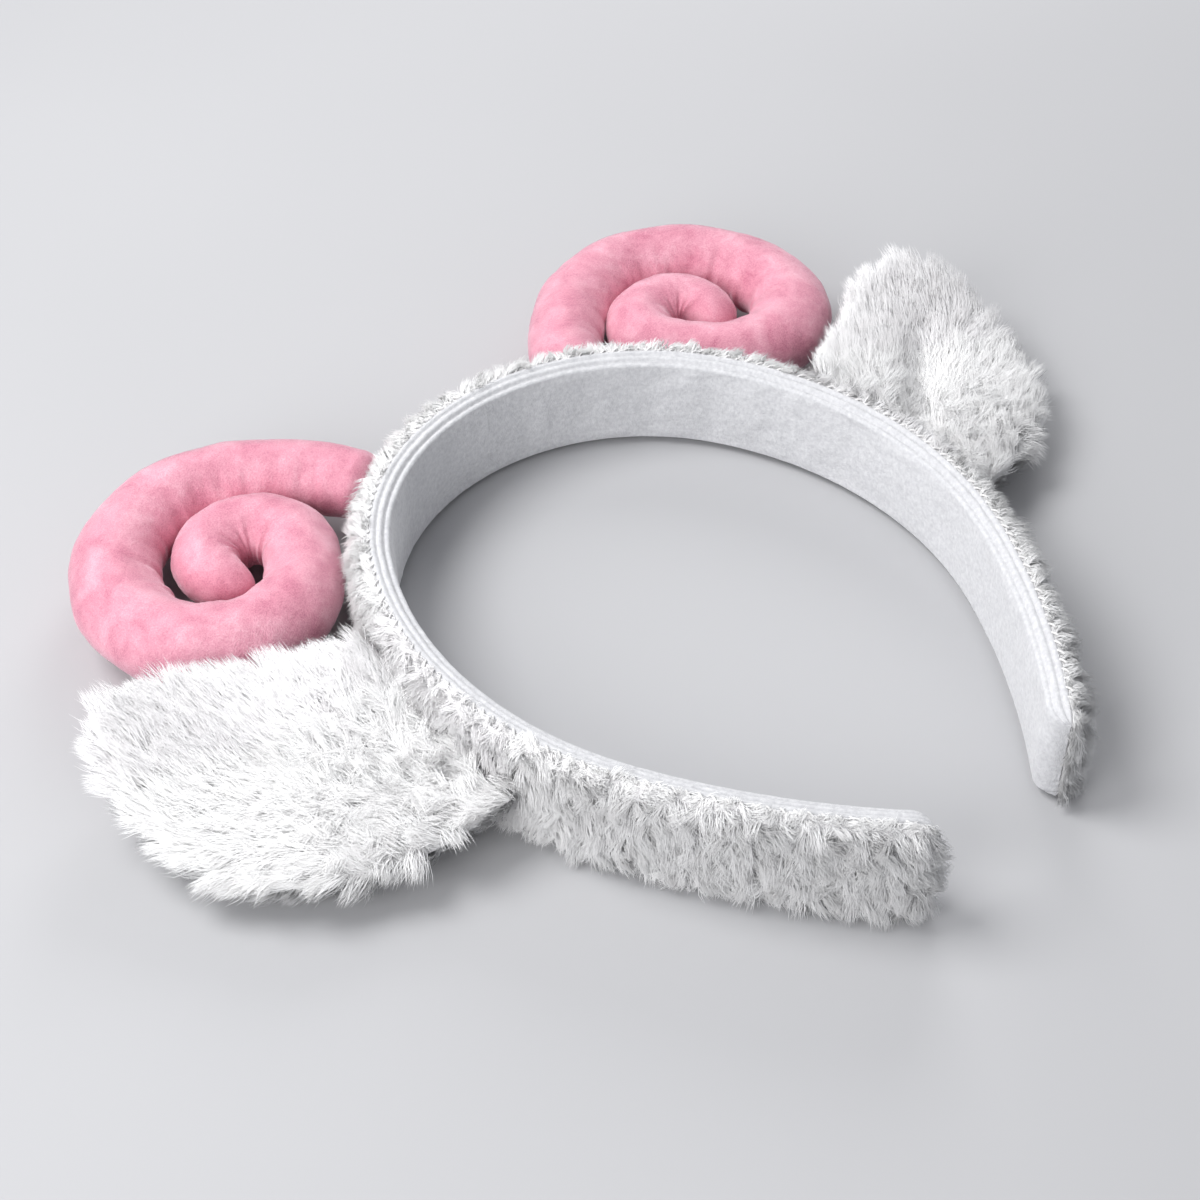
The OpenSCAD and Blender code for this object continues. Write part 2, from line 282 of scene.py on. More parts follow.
def backing_material():
    """The knitted ground that the pile stands in."""
    m = Shader("fur_backing", Roughness=0.85, Sheen_Weight=0.3, Sheen_Roughness=0.5)
    m.drive("Base Color", m.ramp(m.noise(1.5, 3.0), [
        (0.3, srgb(238, 236, 237)), (0.7, srgb(252, 251, 252)),
    ]))
    m.bump([(m.noise(0.5, 2.0), 0.5), (m.noise(2.5, 3.0), 0.6)])
    return m.material


def lining_material():
    """Short white plush with fine fibres and soft creases."""
    m = Shader("lining_plush", Roughness=0.9, Sheen_Weight=0.45, Sheen_Roughness=0.4,
               Specular_IOR_Level=0.25)
    # The whole range sits well below the plush's white as painted shade, for the shade the lining lies in inside
    # the band; the noise between the two greys is the plush's own uneven tone.
    m.drive("Base Color", m.ramp(m.noise(0.9, 4.0), [
        (0.3, srgb(200, 200, 203)), (0.72, srgb(221, 221, 223)),
    ]))
    m.bump([
        (m.noise(0.3, 2.0, stretch=(1, 1, 0.6)), 0.14),
        (m.noise(2.2, 3.0), 0.22),
        (m.noise(7.0, 2.0), 0.5),
    ])
    return m.material


def thread_material(name, colour):
    """Twisted polyester thread."""
    m = Shader(name, Roughness=0.55, Sheen_Weight=0.2, Specular_IOR_Level=0.35)
    dark = tuple(0.86 * c for c in colour[:3]) + (1,)
    m.drive("Base Color", m.ramp(m.noise(1.2, 2.0), [(0.3, dark), (0.7, colour)]))
    m.bump([(m.noise(0.25, 1.0, stretch=(1, 1, 2.2)), 0.08)])
    return m.material


def velvet_material():
    """Crushed velvet: the pile lies this way and that, so patches shine or go dark."""
    m = Shader("pink_velvet", Sheen_Weight=1.0, Sheen_Roughness=0.28, Specular_IOR_Level=0.25)
    m.principled.inputs["Sheen Tint"].default_value = srgb(255, 226, 236)
    patches = m.noise(7.0, 4.0, 0.6, distortion=0.3)
    pile = m.noise(0.34, 3.0, 0.75)
    both = m.node("Mix", {"data_type": "FLOAT"}, Factor=0.5)
    m.links.new(patches, both.inputs[2])
    m.links.new(pile, both.inputs[3])
    # The lighter and darker patches of this base colour are painted sheen and painted shade, for the crushed pile
    # catching the light or not; the fine pile noise mixed in gives the cloth's own speckle.
    m.drive("Base Color", m.ramp(both.outputs[0], [
        (0.36, srgb(196, 118, 141)), (0.46, srgb(216, 144, 163)),
        (0.54, srgb(226, 158, 176)), (0.66, srgb(240, 186, 200)),
    ]))
    m.drive("Roughness", m.map_range(patches, 0.35, 0.65, 0.8, 0.5))
    m.bump([(m.noise(0.3, 2.0), 0.1), (pile, 0.16), (patches, 0.35)])
    return m.material


def glue_material():
    """Clear hot-melt glue."""
    m = Shader("clear_glue", Roughness=0.22, Transmission_Weight=0.55, IOR=1.45)
    m.drive("Base Color", m.ramp(m.noise(2.0, 2.0), [
        (0.3, srgb(232, 232, 234)), (0.7, srgb(250, 250, 250)),
    ]))
    m.bump([(m.noise(1.2, 2.0), 0.2)])
    return m.material


def strip_material():
    """Dark moulded plastic."""
    m = Shader("hoop_plastic", Roughness=0.4)
    m.drive("Base Color", m.ramp(m.noise(6.0, 2.0), [(0.3, srgb(38, 38, 40)), (0.7, srgb(52, 52, 54))]))
    m.bump([(m.noise(0.6, 2.0), 0.03)])
    return m.material


FUR = [
    fur_material("white_fur", srgb(249, 248, 248), srgb(254, 254, 254)),
    fur_material("white_fur_light", srgb(252, 251, 251), srgb(255, 255, 255)),
    fur_material("white_fur_shade", srgb(245, 243, 244), srgb(252, 251, 252)),
]
BACKING = backing_material()
LINING = lining_material()
VELVET = velvet_material()
WHITE_THREAD = thread_material("white_thread", srgb(240, 239, 238))
PINK_THREAD = thread_material("pink_thread", srgb(222, 138, 160))
GLUE = glue_material()
STRIP = strip_material()


# ---------- fur ----------

STRAND_LEVELS = np.array([0.0, 0.36, 0.7])    # rings of a strand; its point is at 1
STRAND_TAPER = np.array([1.0, 0.85, 0.55])    # its width at those rings
STRAND_SIDES = 3
STRAND_W = 0.17
NOT_ALONG = np.array([0.31, 0.12, 0.94])      # a way that hardly any strand runs
PIECE_STRANDS = 12400                         # in one mesh, to keep its faces under the export's limit
OWN_SHADE = 0.22                              # how far a fibre's own roundness shows in its shading
LOCK_SPREAD = 0.62                            # how far a lock's way swings from the combing
STRAND_SPREAD = 0.22                          # and a strand's way from that of its lock
CLUMP = 0.4                                   # how far the tips of a lock draw together
FLOOR_GAP = 0.06                              # pile stops this far over the table


class Pile:
    """Fur on a surface given by a function (u, v) -> points, in millimetres."""

    def __init__(self, surface, seed):
        self.surface = surface
        self.seed = seed
        self.outward = 1              # -1 where u cross v points into the piece

    def frame(self, u, v):
        """The points, the ways of u and v there, and the normal."""
        p = self.surface(u, v)
        eps = 1e-3
        du = unit(self.surface(u + eps, v) - p)
        dv = unit(self.surface(u, v + eps) - p)
        return p, du, dv, self.outward * unit(np.cross(du, dv))


def nearest_locks(u, v, lock, scale, seed):
    """For each root, the place of the nearest lock's middle and a number that names it."""
    x, y = u * scale[0] / lock, v * scale[1] / lock
    cx, cy = np.floor(x).astype(np.int64), np.floor(y).astype(np.int64)
    best = np.full(len(u), 1e9)
    middle = np.zeros((len(u), 2))
    name = np.zeros(len(u), np.int64)
    for i in (-1, 0, 1):
        for k in (-1, 0, 1):
            ix, iy = cx + i, cy + k
            px = ix + hashed(ix, iy, ix * 0, seed)
            py = iy + hashed(ix, iy, ix * 0, seed + 1)
            distance = np.hypot(x - px, y - py)
            nearer = distance < best
            best[nearer] = distance[nearer]
            middle[nearer] = np.stack([px, py], -1)[nearer]
            name[nearer] = (ix * 92821 + iy * 68917)[nearer]
    return middle * lock / np.array(scale), name


def strands(pile, u, v, length, lock, comb, lift, curl, rng, scale=(1, 1)):
    """Centre lines (n, levels + 1, 3), widths and ground normals for strands rooted at (u, v).

    lock is the size of a lock of fur, comb gives the way it is brushed, lift how upright it stands,
    curl how much each strand waves, and scale the millimetres in one unit of u and of v.
    """
    middle, name = nearest_locks(u, v, lock, scale, pile.seed)
    zero = name * 0
    p, du, dv, n = pile.frame(u, v)
    q, lu, lv, ln = pile.frame(middle[:, 0], middle[:, 1])
    turn = 2 * math.pi * hashed(name, zero, zero, pile.seed + 2)
    stray = hashed(name, zero, zero, pile.seed + 3)
    swing = np.cos(turn)[:, None] * lu + np.sin(turn)[:, None] * lv
    lock_way = unit(comb(q, lu, lv) + LOCK_SPREAD * swing)
    lock_lift = lift * (0.75 + 0.5 * stray)[:, None]
    lock_length = length * (0.72 + 0.5 * hashed(name, zero, zero, pile.seed + 4))
    lock_line = lock_way * (1 - lock_lift) + ln * lock_lift
    own = rng.normal(size=(len(u), 3)) * STRAND_SPREAD
    way = unit(lock_line + own)
    each = lock_length * rng.uniform(0.7, 1.08, len(u))
    levels = np.append(STRAND_LEVELS, 1.0)
    t = levels[None, :, None]
    reach = each[:, None, None] * t
    start = unit(n * 0.75 + way * 0.5)[:, None]
    line = p[:, None] + reach * (start * (1 - t) + way[:, None] * t)
    tip = q[:, None] + lock_length[:, None, None] * t * unit(lock_line)[:, None]
    pull = CLUMP * t ** 1.3
    line = line * (1 - pull) + tip * pull
    sway = rng.normal(size=(len(u), 1, 3)) * curl
    phase = rng.uniform(0, 6.28, (len(u), 1, 1))
    line = line + sway * np.sin(2.2 * math.pi * t + phase) * t
    widths = STRAND_W * rng.uniform(0.7, 1.25, len(u))[:, None] * STRAND_TAPER[None]
    return line, widths, n


def strand_meshes(name, line, widths, lie, body, slot):
    """Turns centre lines to fine three-sided tapered tubes, in meshes of a size the export keeps whole.

    lie holds the ground's normal at each root: the fibres are shaded mostly by it, as soft pile is.
    """
    line[..., 2] = np.maximum(line[..., 2], FLOOR_Z + FLOOR_GAP)
    chunks = max(1, math.ceil(len(line) / PIECE_STRANDS))
    order = np.argsort(line[:, 0, 0] * 0.3 + line[:, 0, 1], kind="stable")
    for index, part in enumerate(np.array_split(order, chunks)):
        c, w = line[part], widths[part]
        count, rings = len(c), len(STRAND_LEVELS)
        d = unit(np.gradient(c, axis=1))[:, :rings]
        side = unit(np.cross(d, NOT_ALONG))
        up = np.cross(d, side)
        angles = 2 * math.pi * np.arange(STRAND_SIDES) / STRAND_SIDES
        around = (
            np.cos(angles)[None, None, :, None] * side[:, :, None]
            + np.sin(angles)[None, None, :, None] * up[:, :, None]
        )
        ring_points = c[:, :rings, None] + around * (w / 2)[:, :, None, None]
        points = np.concatenate([ring_points.reshape(count, -1, 3), c[:, rings:]], 1)
        own = np.concatenate([around.reshape(count, -1, 3), d[:, -1:]], 1)
        normals = unit(own * OWN_SHADE + lie[part][:, None])
        each = rings * STRAND_SIDES + 1
        k = np.arange(STRAND_SIDES)
        following = (k + 1) % STRAND_SIDES
        quads = np.concatenate([
            np.stack([k, following, following + STRAND_SIDES, k + STRAND_SIDES], -1) + r * STRAND_SIDES
            for r in range(rings - 1)
        ])
        last = (rings - 1) * STRAND_SIDES
        tris = np.concatenate([
            np.stack([last + k, last + following, np.full(STRAND_SIDES, each - 1)], -1),
            k[None, ::-1],
        ])
        offsets = (np.arange(count) * each)[:, None, None]
        obj = make_mesh(f"{name}_{index + 1:02d}", points.reshape(-1, 3), (quads + offsets).reshape(-1, 4),
                        (tris + offsets).reshape(-1, 3), FUR[index % len(FUR)])
        obj.data.normals_split_custom_set_from_vertices(normals.reshape(-1, 3))
        place(obj, body, slot)


def place(obj, body, slot, *replaced):
    """Puts a piece on its body. A (crown, arm, side) body is not attached: the piece's placement is baked into its
    mesh.
    """
    if isinstance(body, tuple):
        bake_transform(obj)
    else:
        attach(obj, body)
    if replaced:
        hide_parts(*replaced)


# ---------- the band ----------

RIM_Z = 9.3          # half the height of the lining's flat face
TOP_Z = 11.4         # half the height at the seam
SEAM_D = 4.6         # where the fur meets the lining on each rim
SKIN_D = 6.7         # the fur's ground on the outer face
CLOTH = 1.0          # the thickness of a rim's folded cloth
WELTS, WELT_R = 3, 0.78
FACE_POINTS = 22
OVERLAP = [-0.7, -0.3]    # s of the stations that lie under the other side's half
TUCK = 0.9                # size of the outermost of them
FUR_WALL = [0.32, 0.09]   # how far the inside of the fur's ground is drawn in, along d and z
FLEX_CLEAR = 32           # beyond this s the pile stays clear of the flex line


def arc_points(centre, radius, start, end, count):
    a = np.radians(np.linspace(start, end, count))
    return np.stack([centre[0] + radius * np.cos(a), centre[1] + radius * np.sin(a)], -1)


def lining_section():
    """Closed (d, z) loop of the lining: its face, and over each rim a row of welts."""
    welts = []
    for i in range(WELTS):
        t = (i + 0.5) / WELTS
        rise = (TOP_Z - RIM_Z) * math.sin(t * math.pi / 2) ** 0.75
        centre = (SEAM_D * (0.04 + 0.93 * t), RIM_Z + rise - 0.35)
        welts.append(arc_points(centre, WELT_R, 200 - 75 * t, 60 - 55 * t * 0.6, 7))
    rim = np.concatenate(welts)
    face = np.stack([np.zeros(FACE_POINTS), np.linspace(-RIM_Z + 0.3, RIM_Z - 0.3, FACE_POINTS)], -1)
    face[:, 0] -= 0.35 * np.cos(np.linspace(-math.pi / 2, math.pi / 2, FACE_POINTS))
    lower = (rim * [1, -1])[::-1]
    inner = np.array([[SEAM_D, TOP_Z - CLOTH], [2.2, TOP_Z - CLOTH - 0.6], [1.1, RIM_Z - 1.0],
                      [1.1, 0], [1.1, 1.0 - RIM_Z], [2.2, 0.6 + CLOTH - TOP_Z], [SEAM_D, CLOTH - TOP_Z]])
    return np.concatenate([lower, face, rim, inner])


def fur_contour():
    """(d, z) points on the fur's ground from the upper seam over the outer face to the lower seam."""
    corner = 2.4
    top = arc_points((SKIN_D - corner, TOP_Z - corner), corner, 90, 0, 8)
    return np.concatenate([[[SEAM_D - 0.4, TOP_Z]], top, [[SKIN_D, 0.0]], (top * [1, -1])[::-1],
                           [[SEAM_D - 0.4, -TOP_Z]]])


CONTOUR = fur_contour()
CONTOUR_V = np.append(0, np.cumsum(np.linalg.norm(np.diff(CONTOUR, axis=0), axis=1)))


def fur_ground(u, v):
    """Point on the fur's ground at s = u, and v along the contour from the upper seam."""
    d = np.interp(v, CONTOUR_V, CONTOUR[:, 0])
    z = np.interp(v, CONTOUR_V, CONTOUR[:, 1])
    return band(u, d, z)


def half_stations(step):
    """s from just over the crown's middle to past the left tip, closer together round the end."""
    straight = np.arange(0, S_TIP, step)
    return np.concatenate([OVERLAP, straight, S_TIP + np.linspace(0, CAP_S * 0.985, 12)])


def tuck(section, s):
    """The section at each s, drawn in at the end that lies under the other side's half."""
    middle = np.array([SEAM_D * 0.6, 0.0])
    share = np.where(np.arange(len(s)) == 0, TUCK, 1.0)[:, None, None]
    return middle + (section[None] - middle) * share


def make_lining(side):
    section = lining_section()
    s = half_stations(0.8) * SIDES[side]
    tucked = tuck(section, s)
    rings = band(s[:, None], tucked[..., 0], tucked[..., 1])
    p = rings.reshape(-1, 3)
    face = np.tile((np.abs(section[:, 1]) < RIM_Z) & (section[:, 0] < 0.6), len(s))
    out = np.repeat(along(hoop(np.clip(s, -S_TIP, S_TIP))[1]), len(section), 0)
    run = np.repeat(s, len(section))
    height = np.tile(section[:, 1], len(s))
    crease = noise(np.stack([run, height * 0.35, run * 0], -1), 5.0, 5)
    fine = noise(p, 1.6, 6)
    amount = np.where(face, 0.35 * crease + 0.12 * fine, 0.06 * fine)
    p[:, :2] += out * amount[:, None]
    obj = loft(f"lining_cloth_{side}", p.reshape(rings.shape), LINING, flip=side == "left")
    place(obj, ("crown", f"arm_{side}", side), "lining_plush", f"lining_{side}",
                 *(["lining_crown"] if side == "left" else []))


def make_fur_ground(side):
    inner = CONTOUR[::-1] + (np.array([CAP_MID, 0]) - CONTOUR[::-1]) * FUR_WALL
    section = np.concatenate([CONTOUR, inner])
    s = half_stations(1.2) * SIDES[side]
    tucked = tuck(section, s)
    rings = band(s[:, None], tucked[..., 0], tucked[..., 1])
    p = rings.reshape(-1, 3)
    p += 0.075 * noise(p, 2.5, 3)[:, None] * unit(p)
    obj = loft(f"fur_ground_{side}", p.reshape(rings.shape), BACKING, flip=side == "left")
    place(obj, ("crown", f"arm_{side}", side), "white_fur", f"fur_cover_{side}", f"foam_sleeve_{side}",
                 *(["fur_cover_crown", "foam_sleeve_crown"] if side == "left" else []))


def band_comb(side):
    """The way the band's pile is brushed: toward the tip and down from the upper rim."""
    sign = SIDES[side]

    def comb(q, du, dv):
        return 0.35 * du * sign + 0.45 * dv
    return comb


def band_keep(v, rng):
    """Which roots stay: most of those beside the lower seam, on the table, are left out."""
    low = CONTOUR_V[-1] - v
    return ~((low < 2.2) & (rng.random(len(v)) < 0.75))


def make_band_fur(side, count):
    sign = SIDES[side]
    rng = np.random.default_rng(21 + sign)
    pile = Pile(fur_ground, 31 + sign)
    u = rng.uniform(0, S_TIP + CAP_S * 0.95, count)
    v = rng.uniform(0.1, CONTOUR_V[-1] - 0.3, count)
    kept = band_keep(v, rng)
    u, v = u[kept] * sign, v[kept]
    rim = np.minimum(v, CONTOUR_V[-1] - v)
    length = 4.6 * (0.5 + 0.5 * np.clip(rim / 4.0, 0, 1))
    line, widths, lie = strands(pile, u, v, length, 1.9, band_comb(side), 0.5, 0.2, rng)
    arms = np.abs(u) > FLEX_CLEAR
    for part, body, name in ((arms, f"arm_{side}", "arm"), (~arms, ("crown", f"arm_{side}", side), "crown")):
        strand_meshes(f"band_fur_{name}_{side}", line[part].copy(), widths[part], lie[part], body,
                      "white_fur")


# ---------- the horns ----------

HORN_C = np.array([63.4, 56.0])
COIL_R, CORE_R = 27.3, 11.8        # centre line's radius round the outside, and where the core begins
START_A, END_A = 0.5, 610.0        # degrees round the coil, root to end
ROOT_A, ROOT_OUT = 55, 7.6         # the root comes in from this much further out
ROLL_A, ROLL_SPAN = 198, 130       # where the coil rolls in
CORE_A, CORE_SPAN, CORE_IN = 328, 282, 6.0
TUBE_R = 9.5
TUBE_FLAT = 0.95                   # the stuffed tube's height over its width
HORN_RINGS, HORN_SIDES = 760, 72


def ease(t):
    t = np.clip(t, 0, 1)
    return t * t * (3 - 2 * t)


def coil_radius(a):
    return (
        COIL_R + (CORE_R - COIL_R) * ease((a - ROLL_A) / ROLL_SPAN)
        + ROOT_OUT * np.clip(1 - a / ROOT_A, 0, 1) ** 2
        - CORE_IN * np.clip((a - CORE_A) / CORE_SPAN, 0, 1)
    )


def coil_line(a):
    r = np.radians(a)
    return np.stack([HORN_C[0] - coil_radius(a) * np.cos(r), HORN_C[1] + coil_radius(a) * np.sin(r)], -1)


def tube_radius(a):
    """The tube is slimmer at its root, and again where it rolls in and toward its end."""
    root = 1.5 * np.clip(1 - a / 90, 0, 1) ** 2
    return TUBE_R - root - 1.3 * ease((a - 210) / 120) - 1.6 * ease((a - 430) / 180)


def make_horn(side):
    sign = SIDES[side]
    n, m = HORN_RINGS, HORN_SIDES
    t = np.linspace(0, 1, n)
    t = t - 0.12 * np.sin(2 * math.pi * t) / (2 * math.pi)
    a = START_A + (END_A - START_A) * t
    line = coil_line(a)
    step = np.gradient(line, axis=0)
    travelled = np.append(0, np.cumsum(np.linalg.norm(np.diff(line, axis=0), axis=1)))
    to_end = travelled[-1] - travelled
    dome = np.sqrt(np.clip(1 - np.clip(1 - np.minimum(travelled / 5, to_end / 6.5), 0, 1) ** 2, 0, 1))
    radius = np.maximum(tube_radius(a) * dome, 0.25)
    across = unit(np.stack([step[:, 1], -step[:, 0]], -1))
    k = 2 * math.pi * np.arange(m) / m
    width, height = np.cos(k), np.sin(k)
    profile = radius[:, None] * (1 + 0.02 * np.cos(4 * k)[None])
    rings = np.zeros((n, m, 3))
    rings[..., :2] = line[:, None] + (profile * width)[..., None] * across[:, None]
    rings[..., 2] = profile * height * TUBE_FLAT
    p = rings.reshape(-1, 3)
    level = width[None, :, None] * across[:, None]
    upright = np.broadcast_to(height, (n, m))[..., None]
    normal = unit(np.concatenate([level, upright], -1)).reshape(-1, 3)
    inward = -np.broadcast_to(width, (n, m)).ravel()
    if np.dot(across[n // 2], line[n // 2] - HORN_C) < 0:
        inward = -inward
    along_tube = np.repeat(travelled, m)
    folds = noise(np.stack([along_tube, inward * 4, inward * 0], -1), 2.6, 14)
    wrinkle = folds * np.clip(inward, 0, 1) ** 1.5
    move = 0.32 * noise(p, 9, 8) + 0.14 * noise(p, 3.2, 9) + 0.05 * noise(p, 1.0, 10) + 0.45 * wrinkle
    p = p + normal * (move * np.repeat(dome, m))[:, None]
    p[:, 0] *= sign
    obj = loft(f"horn_skin_{side}", p.reshape(n, m, 3), VELVET, flip=sign > 0)
    place(obj, f"horn_{side}", "pink_velvet", f"horn_velvet_{side}", f"horn_stuffing_{side}")


# ---------- the ears ----------

EAR_SLOPE, EAR_DROOP = math.radians(8), math.radians(5)
EAR_CORNERS = np.array([
    [-6, -22], [-6, -22], [12, -20], [30, -14], [45, 2], [50, 22], [48, 41], [40, 46], [26, 43], [9, 33],
    [-6, 25], [-6, 25],
]) * [0.98, 0.97]
EAR_MID = np.array([21.0, 8.0])
EAR_TIP = np.array([46.0, 40.0])
CREASE_FROM = np.array([0.0, -2.0])


def ear_outline(count):
    """Evenly spaced points on a smooth closed outline through the corners."""
    c = EAR_CORNERS
    t = np.linspace(0, 1, 24, endpoint=False)[:, None]
    pieces = []
    for i in range(len(c)):
        before, corner, after = c[i - 1], c[i], c[(i + 1) % len(c)]
        pieces.append((1 - t) ** 2 * (before + corner) / 2 + 2 * t * (1 - t) * corner
                      + t ** 2 * (corner + after) / 2)
    points = np.concatenate(pieces)
    closed = np.concatenate([points, points[:1]])
    run = np.append(0, np.cumsum(np.linalg.norm(np.diff(closed, axis=0), axis=1)))
    at = np.linspace(0, run[-1], count, endpoint=False)
    return np.stack([np.interp(at, run, closed[:, 0]), np.interp(at, run, closed[:, 1])], -1)


EAR_RING = 240
OUTLINE = ear_outline(EAR_RING)
OUTLINE_C = np.concatenate([OUTLINE, OUTLINE[:1]])
EAR_SPAN = 44.0
THICK = 4.2          # half the ear's thickness at its fullest
DISH, DISH_AT = 120.0, [24, 8]     # the hollow's radius and its deepest point
RIM_SHARE = 0.15     # part of an ear's strands that stand at its edge


def ear_middle(xy):
    """Height of the ear's mid-surface over its root plane: dished, with a crease from the root."""
    r2 = ((xy - DISH_AT) ** 2).sum(-1)
    way = EAR_TIP / np.linalg.norm(EAR_TIP)
    run = (xy - CREASE_FROM) @ way
    off = (xy - CREASE_FROM) @ np.array([-way[1], way[0]])
    crease = np.exp(-(off / 4.5) ** 2) * ease((run + 4) / 10) * (1 - ease((run - 22) / 26))
    return r2 / (2 * DISH) - 3.0 - 3.0 * crease + 1.0 * np.sin(run / 9)


def ear_local(angle_index, share, face):
    """A point of the ear's skin. share runs from the middle (0) to the edge (1); face is 1 or -1."""
    i = np.asarray(angle_index, float) % EAR_RING
    low = np.floor(i).astype(int)
    f = (i - low)[..., None]
    edge = OUTLINE_C[low] * (1 - f) + OUTLINE_C[low + 1] * f
    xy = EAR_MID + (edge - EAR_MID) * np.asarray(share)[..., None]
    full = THICK * (1 - np.clip(np.asarray(share), 0, 1) ** 2.6) ** 0.5
    z = ear_middle(xy) + face * full * (0.75 + 0.25 * (xy[..., 0] / EAR_SPAN))
    return np.concatenate([xy, z[..., None]], -1)


def ear_to_frame(side):
    """Turns local ear points to the frame: X out from the band, Y along the root."""
    root = np.array(joints[f"ear_flap_{side}"]["pos_m"]) / MM
    matrix = Matrix.Rotation(EAR_SLOPE, 3, "X") @ Matrix.Rotation(EAR_DROOP, 3, "Y")
    rotate = np.array(matrix)
    sign = SIDES[side]

    def turn(p):
        q = p @ rotate.T + [abs(root[0]), root[1], 0]
        return q * [sign, 1, 1]
    return turn


def make_ear_skin(side):
    turn = ear_to_frame(side)
    shares = np.sin(np.linspace(0.03, 1, 34) * math.pi / 2)
    i = np.arange(EAR_RING)
    top = np.stack([ear_local(i, np.full(EAR_RING, s), 1) for s in shares])
    under = np.stack([ear_local(i, np.full(EAR_RING, s), -1) for s in shares[::-1]])
    rings = turn(np.concatenate([top, under[1:]]))
    obj = loft(f"ear_skin_{side}", rings, BACKING, flip=side == "left")
    place(obj, f"ear_{side}", "white_fur", f"ear_front_{side}", f"ear_batting_{side}",
                 f"ear_back_{side}", f"ear_root_{side}")


def make_ear_fur(side, count):
    turn = ear_to_frame(side)
    sign = SIDES[side]
    for face, name, share, length in ((1, "front", 1.0, 6.4), (-1, "back", 0.75, 4.6)):
        rng = np.random.default_rng(50 + sign + 3 * face)
        total = int(count * share)
        at_rim = rng.random(total) < RIM_SHARE
        rim = rng.uniform(0.93, 1.0, total)
        s = np.where(at_rim, rim, np.sqrt(rng.random(total)))
        i = rng.random(total) * EAR_RING

        def surface(u, v, face=face):
            return turn(ear_local(u, np.clip(v / EAR_SPAN, 0, 1.2), face))

        pile = Pile(surface, 60 + sign + face)
        n = pile.frame(i, s * EAR_SPAN)[3]
        pile.outward = 1 if (n[:, 2] * face).mean() > 0 else -1
        tip_way = turn(np.array([[*EAR_TIP, 3.0]]))[0] - turn(np.array([[*CREASE_FROM, 0.0]]))[0]

        def comb(q, lu, lv, tip_way=tip_way / np.linalg.norm(tip_way)):
            over_horn = np.clip((q[:, 1] - 4) / 12, 0, 1)[:, None]
            return 0.85 * tip_way + 0.3 * lv + over_horn * np.array([0.0, 0.9, 0.5])

        line, widths, lie = strands(pile, i, s * EAR_SPAN, np.full(total, length), 2.2, comb, 0.36, 0.22,
                                    rng, scale=(0.45, 1))
        strand_meshes(f"ear_fur_{name}_{side}", line, widths, lie, f"ear_{side}",
                      "white_fur" if face > 0 else "short_plush")


# ---------- threads ----------

STITCH_PITCH, STITCH_HALF, STITCH_R = 2.4, 0.85, 0.24


def tube(name, line, radius, material, sides):
    """A closed round cord along a line of points."""
    line = np.asarray(line, float)
    d = unit(np.gradient(line, axis=0))
    side = unit(np.cross(d, [0.02, 0.11, 0.99]))
    up = np.cross(d, side)
    k = 2 * math.pi * np.arange(sides) / sides
    ends = np.ones(len(line))
    ends[[0, -1]] = 0.4
    rings = line[:, None] + radius * ends[:, None, None] * (
        np.cos(k)[None, :, None] * side[:, None] + np.sin(k)[None, :, None] * up[:, None])
    return loft(name, rings, material)


def join(name, objects):
    """Joins several objects to one mesh."""
    for o in bpy.context.selected_objects:
        o.select_set(False)
    for o in objects:
        o.select_set(True)
    bpy.context.view_layer.objects.active = objects[0]
    bpy.ops.object.join()
    objects[0].name = name
    objects[0].data.name = name
    return objects[0]


def make_rim_stitches(side):
    """Small slanted stitches that close the cover along each rim."""
    made = []
    for rim in (1, -1):
        for i, s in enumerate(np.arange(4, S_TIP, STITCH_PITCH)):
            t = np.linspace(-1, 1, 7)
            d = SEAM_D + 0.1 + 0.75 * t
            z = rim * (TOP_Z + 0.12 + 0.32 * (1 - t * t))
            line = band((s + STITCH_HALF * t * 0.8) * SIDES[side], d, z)
            line[:, 2] = np.maximum(line[:, 2], FLOOR_Z + 0.3)
            made.append(tube(f"stitch_{i}", line, STITCH_R, WHITE_THREAD, 6))
    obj = join(f"rim_stitches_{side}", made)
    place(obj, ("crown", f"arm_{side}", side), "thread", f"seam_thread_{side}",
                 *(["seam_thread_crown"] if side == "left" else []))


# ---------- the object ----------

CAD_MATERIALS = {
    "hoop_strip": STRIP, "horn_glue": GLUE, "horn_tacks": PINK_THREAD, "ear_stitches": WHITE_THREAD,
}
for name, node in frame["nodes"].items():
    material = CAD_MATERIALS.get(name.rsplit("_", 1)[0])
    if material:
        node.data.materials.clear()
        node.data.materials.append(material)

BAND_STRANDS, EAR_STRANDS = 52000, 30000      # on each side, before the thinning at the rim
DRAFT = 1.0
for side in SIDES:
    make_lining(side)
    make_fur_ground(side)
    make_rim_stitches(side)
    make_horn(side)
    make_ear_skin(side)
    make_band_fur(side, int(BAND_STRANDS * DRAFT))
    make_ear_fur(side, int(EAR_STRANDS * DRAFT))


# ---------- stage, light and camera ----------

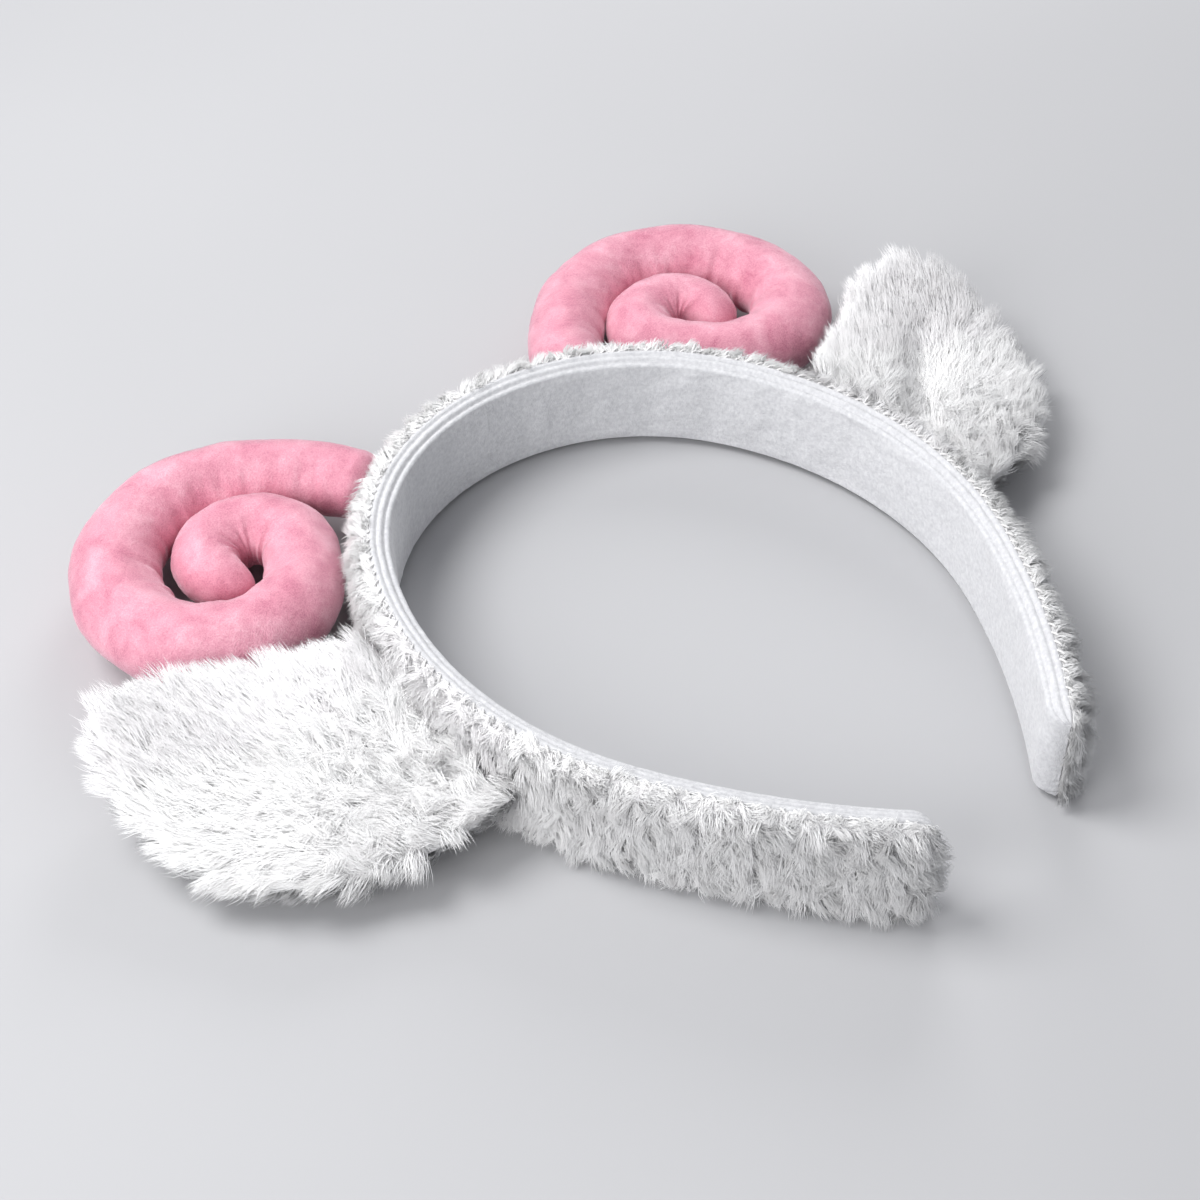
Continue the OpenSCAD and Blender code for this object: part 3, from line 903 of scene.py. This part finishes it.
def make_floor():
    size = 3000.0
    z = FLOOR_Z - 0.05
    points = [[-size, -size, z], [size, -size, z], [size, size, z], [-size, size, z]]
    m = Shader("floor_paper", Roughness=0.9)
    m.drive("Base Color", m.ramp(m.noise(300.0, 2.0), [
        (0.3, srgb(181, 181, 183)), (0.7, srgb(186, 186, 188)),
    ]))
    floor = make_mesh("floor", np.array(points), np.array([[0, 1, 2, 3]]), material=m.material)


def make_light(name, position, target, size, power):
    lamp = bpy.data.lights.new(name, "AREA")
    lamp.shape = "DISK"
    lamp.size = size * MM
    lamp.energy = power
    obj = bpy.data.objects.new(name, lamp)
    bpy.context.scene.collection.objects.link(obj)
    obj.location = Vector(position) * MM
    obj.rotation_euler = (Vector(target) - Vector(position)).to_track_quat("-Z", "Y").to_euler()


def make_camera():
    camera = bpy.data.objects.new("camera", bpy.data.cameras.new("camera"))
    bpy.context.scene.collection.objects.link(camera)
    bpy.context.scene.camera = camera
    camera.data.lens = 58.25
    camera.data.sensor_width = 36.0
    azimuth, elevation, roll = (math.radians(a) for a in (-40.635, 43.157, -1.352))
    distance = 400.0
    target = Vector((-16.3, -3.68, 0.0))
    back = Vector((math.sin(azimuth) * math.cos(elevation), -math.cos(azimuth) * math.cos(elevation),
                   math.sin(elevation)))
    camera.location = (target + back * distance) * MM
    camera.rotation_mode = "QUATERNION"
    tilt = Matrix.Rotation(roll, 3, "Z").to_quaternion()
    camera.rotation_quaternion = (-back).to_track_quat("-Z", "Y") @ tilt
    camera.data.clip_start = 0.01
    camera.data.clip_end = 20.0


make_floor()
make_light("key", (-300, 320, 650), (0, 0, 0), 480, 5.0)
make_light("fill", (-660, -160, 380), (0, 0, 0), 480, 2.9)
make_light("rim", (520, 420, 380), (0, 0, 0), 420, 2.3)
make_camera()

world = bpy.data.worlds.new("studio")
bpy.context.scene.world = world
world.use_nodes = True
world.node_tree.nodes["Background"].inputs["Color"].default_value = (0.93, 0.95, 1.0, 1.0)
world.node_tree.nodes["Background"].inputs["Strength"].default_value = 0.42
bpy.context.scene.view_settings.view_transform = "Standard"
